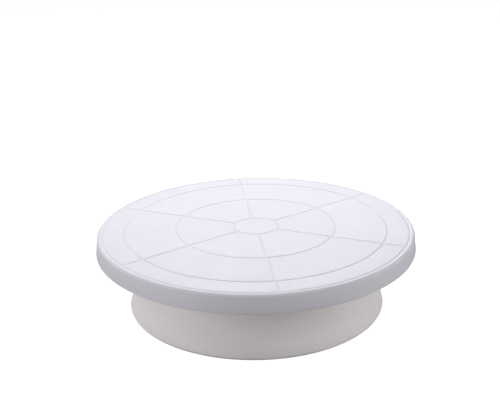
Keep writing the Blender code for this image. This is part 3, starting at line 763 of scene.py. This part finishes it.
# ---------------------------------------------------------------- ball bearing and spindle


def make_cage():
    """A flat ring with rounded edges and a round pocket for each ball."""
    low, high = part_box("ball_cage")
    edge = CAGE_EDGE
    half_width = high.x - BALL_CIRCLE
    inner, outer = BALL_CIRCLE - half_width + edge, BALL_CIRCLE + half_width - edge
    outline = [
        *arc((inner, low.z + edge), edge, 180, 270, FILLET_STEPS),
        *arc((outer, low.z + edge), edge, -90, 0, FILLET_STEPS),
        *arc((outer, high.z - edge), edge, 0, 90, FILLET_STEPS),
        *arc((inner, high.z - edge), edge, 90, 180, FILLET_STEPS),
    ]
    cage = turned("cage_ring", outline, ACETAL, "ball_cage", "cage", ROUND_STEPS)
    pocket = BALL_RADIUS + SEAT_GAP
    bm = bmesh.new()
    for i in range(BALL_COUNT):
        centre = polar(BALL_CIRCLE, math.tau * i / BALL_COUNT)
        add_cylinder(bm, centre, pocket, low.z - CUT_MARGIN, high.z + CUT_MARGIN, POCKET_STEPS)
    cut(cage, bm)


def make_balls():
    bm = bmesh.new()
    bmesh.ops.create_icosphere(bm, subdivisions=4, radius=BALL_RADIUS)
    first = finish_mesh(bm, "steel_ball_01", BALL_STEEL)
    for i in range(BALL_COUNT):
        number = f"{i + 1:02d}"
        ball = first
        if i:
            ball = bpy.data.objects.new(f"steel_ball_{number}", first.data)
            bpy.context.scene.collection.objects.link(ball)
        ball.location = (*polar(BALL_CIRCLE, math.tau * i / BALL_COUNT), BALL_HEIGHT)
        stand_for(ball, f"bearing_ball_{number}", f"ball_{number}")


def ring_outline(node, bore, edge):
    """A washer's outline with rounded outer edges, from the node's box and its bore."""
    low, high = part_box(node)
    outer = high.x
    return [
        (bore, low.z),
        *arc((outer - edge, low.z + edge), edge, -90, 0, FILLET_STEPS),
        *arc((outer - edge, high.z - edge), edge, 0, 90, FILLET_STEPS),
        (bore, high.z),
    ]


def make_spindle():
    """A steel pin with a flat head, and a hole for the screw in its lower end."""
    low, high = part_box("spindle")
    edge = SPINDLE_EDGE
    head_bottom = high.z - SPINDLE_HEAD_HEIGHT
    outline = [
        (0, high.z),
        *arc((high.x - edge, high.z - edge), edge, 90, 0, FILLET_STEPS),
        (high.x, head_bottom),
        (SPINDLE_RADIUS, head_bottom),
        (SPINDLE_RADIUS, low.z + edge),
        (SPINDLE_RADIUS - edge, low.z),
        (TAPPED_HOLE_RADIUS, low.z),
        (TAPPED_HOLE_RADIUS, TAPPED_HOLE_TOP),
        (0, TAPPED_HOLE_TOP + TAPPED_HOLE_POINT),
    ]
    turned("spindle_pin", outline, TURNED_STEEL, "spindle", "plate")


def make_bush():
    """A flanged bush that sits in the base's hub."""
    low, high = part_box("spindle_bush")
    edge = BUSH_EDGE
    bore = SPINDLE_RADIUS + AXIS_GAP
    body = HUB_BORE - AXIS_GAP
    flange_bottom = DECK_TOP + AXIS_GAP
    outline = [
        (bore, low.z),
        (body - edge, low.z),
        (body, low.z + edge),
        (body, flange_bottom),
        *arc((high.x - edge, flange_bottom + edge), edge, -90, 0, steps=2),
        *arc((high.x - edge, high.z - edge), edge, 0, 90, steps=2),
        (bore + edge, high.z),
        (bore, high.z - edge),
    ]
    turned("flanged_bush", outline, ACETAL, "spindle_bush", "base")


def make_washers():
    """The thrust washer under the hub, and the screw's flat washer and split lock washer."""
    thrust = ring_outline("thrust_washer", THRUST_WASHER_BORE, THRUST_WASHER_EDGE)
    turned("thrust_ring", thrust, NYLON, "thrust_washer", "base")
    flat = ring_outline("retaining_washer", STEEL_WASHER_BORE, FLAT_WASHER_EDGE)
    turned("flat_washer", flat, ZINC_STEEL, "retaining_washer", "plate")
    spring = ring_outline("lock_washer", STEEL_WASHER_BORE, LOCK_WASHER_EDGE)
    lock = turned("spring_washer", spring, ZINC_STEEL, "lock_washer", "plate")
    low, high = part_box("lock_washer")
    inner, outer = LOCK_SPLIT_REACH
    bottom, top = low.z - CUT_MARGIN, high.z + CUT_MARGIN
    bm = bmesh.new()
    split = [(inner, bottom), (outer, bottom), (outer, top), (inner, top)]
    add_fin(bm, split, LOCK_SPLIT_WIDTH, LOCK_SPLIT_ANGLE)
    cut(lock, bm)


def screw_outline(low, high):
    """From the tip's middle down the threaded shank, over the head and to its middle underneath."""
    head_top = low.z + SCREW_HEAD_HEIGHT
    tip_width, tip_height = SCREW_TIP
    outline = [(0, high.z), (SCREW_RADIUS - tip_width, high.z)]
    z = high.z - tip_height
    while z > head_top + 1.5 * SCREW_PITCH:
        outline += [(SCREW_RADIUS, z), (SCREW_RADIUS - SCREW_THREAD_DEPTH, z - SCREW_PITCH / 2)]
        z -= SCREW_PITCH
    outline += [(SCREW_RADIUS, head_top + SCREW_PLAIN_SHANK), (SCREW_RADIUS, head_top)]
    shoulder = (high.x - SCREW_SHOULDER_WIDTH, head_top - SCREW_SHOULDER_ROUND)
    outline += arc(shoulder, SCREW_SHOULDER_ROUND, 90, 45, steps=2)
    outline += [(high.x, head_top - SCREW_SHOULDER_HEIGHT)]
    outline += rounded_corner(high.x, low.z, SCREW_HEAD_ROUND, steps=8)[1:]
    return outline + [(0, low.z)]


def make_screw():
    """A pan-head screw: a rounded head with a cross recess, and a shank with a rolled thread."""
    low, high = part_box("retaining_screw")
    outline = screw_outline(low, high)
    screw = turned("pan_head_screw", outline, ZINC_STEEL, "retaining_screw", "plate")
    mouth, floor = low.z - CUT_MARGIN, low.z + RECESS_DEPTH
    blade = [(-RECESS_MOUTH, mouth), (RECESS_MOUTH, mouth), (RECESS_FLOOR, floor), (-RECESS_FLOOR, floor)]
    for turn in (0, math.pi / 2):
        bm = bmesh.new()
        add_fin(bm, blade, RECESS_WIDTH, turn)
        cut(screw, bm)


# ---------------------------------------------------------------- studio


def make_floor():
    """A white floor with a round white wall far off, neither mirrored nor giving light to the object."""
    material, _, shader = shader_of("pale_floor")
    shader.inputs["Base Color"].default_value = (*STUDIO_GREY, 1)
    shader.inputs["Roughness"].default_value = 1
    shader.inputs["Specular IOR Level"].default_value = 0
    shader.inputs["Emission Color"].default_value = (*WHITE_LIGHT, 1)
    shader.inputs["Emission Strength"].default_value = STUDIO_GLOW
    bm = bmesh.new()
    bmesh.ops.create_circle(bm, cap_ends=True, segments=SMALL_STEPS, radius=STUDIO_RADIUS)
    floor = finish_mesh(bm, "studio_floor", material)
    bm = bmesh.new()
    wall_outline = [(STUDIO_RADIUS, 0), (STUDIO_RADIUS, STUDIO_HEIGHT), (STUDIO_RADIUS + WALL_FOOT, 0)]
    spin_outline(bm, wall_outline, SMALL_STEPS)
    wall = finish_mesh(bm, "studio_wall", material)
    wall.visible_shadow = False
    for obj in (floor, wall):
        obj.visible_diffuse = False
        obj.visible_glossy = False


def softbox(name, azimuth, elevation, distance, size, watts, colour, mirrored):
    """An area light aimed at the object. Azimuth runs from the front (-Y) towards the right (+X), in degrees.

    One that isn't mirrored gives the surfaces diffuse light only, so that it makes no glare on the flat top.
    """
    azimuth, elevation = math.radians(azimuth), math.radians(elevation)
    flat = distance * math.cos(elevation)
    offset = Vector((flat * math.sin(azimuth), -flat * math.cos(azimuth), distance * math.sin(elevation)))
    light = bpy.data.lights.new(name, "AREA")
    light.shape = "RECTANGLE"
    light.size, light.size_y = size
    light.energy = watts
    light.color = colour
    obj = bpy.data.objects.new(name, light)
    obj.visible_glossy = mirrored
    obj.location = LIGHT_TARGET + offset
    obj.rotation_euler = (-offset).to_track_quat("-Z", "Y").to_euler()
    bpy.context.scene.collection.objects.link(obj)


def make_lights():
    for name, azimuth, watts in LOW_SOFTBOXES:
        settings = (LOW_ELEVATION, LOW_DISTANCE, LOW_SIZE, watts, WARM_LIGHT, False)
        softbox(f"{name}_softbox", azimuth, *settings)
    for settings in HIGH_SOFTBOXES:
        softbox(*settings)
    world = bpy.data.worlds.new("studio")
    world.use_nodes = True
    background = world.node_tree.nodes["Background"]
    background.inputs["Color"].default_value = (*WHITE_LIGHT, 1)
    background.inputs["Strength"].default_value = WORLD_STRENGTH
    bpy.context.scene.world = world
    bpy.context.scene.view_settings.view_transform = "Standard"


def make_camera():
    """The camera, aimed at the middle of the top face, then tilted, panned and rolled a little."""
    offset = Vector((0, -math.cos(CAMERA_ELEVATION), math.sin(CAMERA_ELEVATION)))
    forward = -offset
    right = Vector((1, 0, 0))
    up = right.cross(forward)
    forward, up = (
        math.cos(CAMERA_TILT) * forward + math.sin(CAMERA_TILT) * up,
        math.cos(CAMERA_TILT) * up - math.sin(CAMERA_TILT) * forward,
    )
    forward, right = (
        math.cos(CAMERA_PAN) * forward + math.sin(CAMERA_PAN) * right,
        math.cos(CAMERA_PAN) * right - math.sin(CAMERA_PAN) * forward,
    )
    right, up = (
        math.cos(CAMERA_ROLL) * right + math.sin(CAMERA_ROLL) * up,
        math.cos(CAMERA_ROLL) * up - math.sin(CAMERA_ROLL) * right,
    )
    data = bpy.data.cameras.new("camera")
    data.sensor_width = SENSOR_WIDTH
    data.lens = CAMERA_LENS
    data.clip_start = NEAREST_SEEN
    camera = bpy.data.objects.new("camera", data)
    turn = Matrix((right, up, -forward)).transposed().to_4x4()
    camera.matrix_world = Matrix.Translation(Vector((0, 0, HEIGHT)) + CAMERA_DISTANCE * offset) @ turn
    bpy.context.scene.collection.objects.link(camera)
    bpy.context.scene.camera = camera


make_plate()
make_base()
make_feet()
make_cage()
make_balls()
make_spindle()
make_bush()
make_washers()
make_screw()
make_floor()
make_lights()
make_camera()
